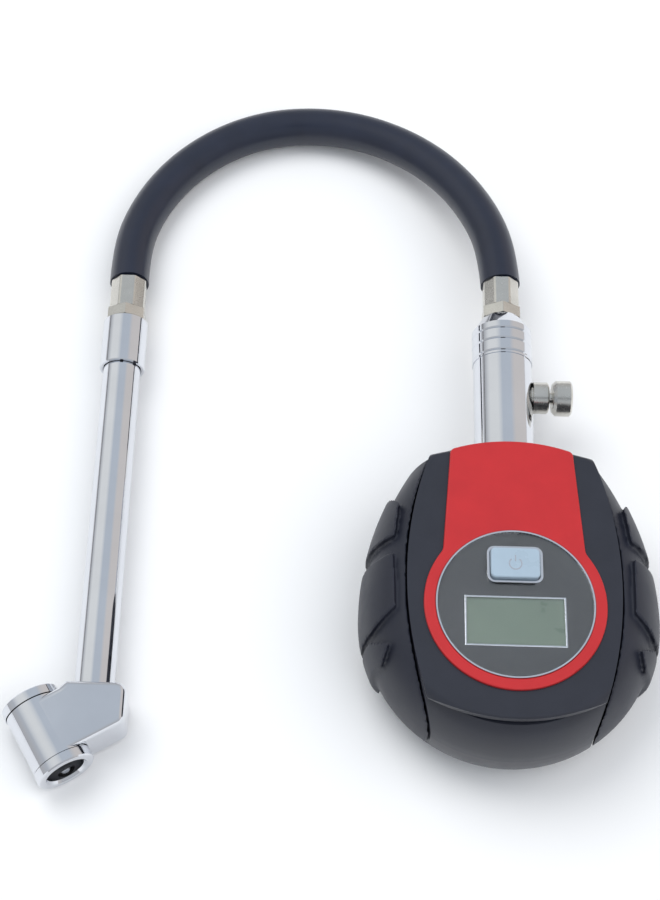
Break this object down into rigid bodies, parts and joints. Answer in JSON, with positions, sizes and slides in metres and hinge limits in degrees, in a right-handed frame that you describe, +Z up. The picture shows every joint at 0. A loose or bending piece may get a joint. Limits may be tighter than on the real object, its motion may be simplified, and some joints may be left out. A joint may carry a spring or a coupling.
{
  "type": "tire pressure gauge",
  "caption": "Digital tire pressure gauge with a padded round housing, chrome air stem, bleed button, short rubber hose and a straight wand with a dual-foot air chuck.",
  "frame": {"origin": "on the surface the gauge lies on, directly below the centre of the round display", "axes": "+X right, +Y along the air stem away from the display's lower edge, +Z up, out of the display's face"},
  "size_m": [0.2045, 0.2634, 0.0445],
  "materials": {
    "housing": "dark blue-black moulded plastic, satin with a fine grain",
    "grip_rubber": "soft dark blue-black rubber",
    "bezel_red": "red moulded plastic, satin gloss",
    "chrome": "polished chrome plate",
    "lens_clear": "clear acrylic",
    "mask_grey": "dark grey printed panel behind the lens",
    "display_glass": "grey-green reflective liquid crystal panel",
    "button_silver": "pale blue-silver plated plastic",
    "hose_rubber": "smooth dark hose rubber",
    "nickel": "warm nickel-plated crimped metal",
    "steel": "plain steel",
    "brass": "machined brass",
    "seal_rubber": "black nitrile rubber",
    "board_green": "green glass-epoxy board",
    "component_black": "black electronic parts",
    "silicone": "translucent grey silicone"
  },
  "bodies": {
    "gauge": {"front_shell": "housing", "rear_shell": "housing", "left_grip": "grip_rubber", "right_grip": "grip_rubber", "bezel": "bezel_red", "lens_trim_ring": "chrome", "lens_window": "lens_clear", "face_mask": "mask_grey", "display_frame": "chrome", "display_glass": "display_glass", "display_connector": "silicone", "button_frame": "chrome", "tact_switch": "component_black", "button_return_sleeve": "silicone", "circuit_board": "board_green", "board_screws": "steel", "case_screws": "steel", "pressure_sensor": "steel", "sensor_seal": "seal_rubber", "sensor_pins": "steel", "coin_cell": "steel", "battery_contact_negative": "steel", "battery_contact_positive": "steel", "battery_cap_seal": "seal_rubber", "stem": "chrome", "stem_cap": "chrome", "bleed_boss": "nickel", "bleed_spring": "steel"},
    "power_button": {"power_button": "button_silver"},
    "bleed_button": {"bleed_button": "nickel", "bleed_seal": "seal_rubber"},
    "battery_cap": {"battery_cap": "housing"},
    "hose_assembly": {"gauge_tail": "nickel", "gauge_swivel_seal": "seal_rubber", "gauge_ferrule": "nickel", "hose": "hose_rubber", "wand_ferrule": "nickel", "wand_tail": "nickel", "wand_collar": "chrome"},
    "wand": {"wand_tube": "chrome", "wand_seal": "seal_rubber", "wand_clip": "steel", "chuck_body": "chrome", "front_foot_cap": "chrome", "rear_foot_cap": "chrome", "front_foot_seal": "seal_rubber", "rear_foot_seal": "seal_rubber", "front_foot_seat": "brass", "rear_foot_seat": "brass", "front_plunger_spring": "steel", "rear_plunger_spring": "steel"},
    "front_plunger": {"front_plunger": "steel"},
    "rear_plunger": {"rear_plunger": "steel"}
  },
  "joints": [
    {"name": "power_button_press", "type": "slide", "parent": "gauge", "child": "power_button", "axis": [0, 0, -1], "range_m": [0, 0.0008], "stiffness_N_per_m": 900, "springref_m": -0.0004, "deforming": ["button_return_sleeve"]},
    {"name": "bleed_button_press", "type": "slide", "parent": "gauge", "child": "bleed_button", "axis": [-1, 0, 0], "range_m": [0, 0.0012], "stiffness_N_per_m": 1200, "springref_m": -0.002, "deforming": ["bleed_spring"]},
    {"name": "battery_cap_turn", "type": "hinge", "parent": "gauge", "child": "battery_cap", "pos_m": [0, -0.01, 0.0015], "axis": [0, 0, -1], "range_deg": [0, 60]},
    {"name": "hose_swivel", "type": "hinge", "parent": "gauge", "child": "hose_assembly", "pos_m": [0, 0.104, 0.022], "axis": [0, 1, 0], "continuous": true},
    {"name": "wand_swivel", "type": "hinge", "parent": "hose_assembly", "child": "wand", "pos_m": [-0.1293, 0.105, 0.00975], "axis": [0, 1, 0], "continuous": true},
    {"name": "front_plunger_slide", "type": "slide", "parent": "wand", "child": "front_plunger", "axis": [-0.5158, 0.8567, 0], "range_m": [0, 0.0016], "stiffness_N_per_m": 1500, "springref_m": -0.001, "deforming": ["front_plunger_spring"]},
    {"name": "rear_plunger_slide", "type": "slide", "parent": "wand", "child": "rear_plunger", "axis": [0.5158, -0.8567, 0], "range_m": [0, 0.0016], "stiffness_N_per_m": 1500, "springref_m": -0.001, "deforming": ["rear_plunger_spring"]}
  ]
}
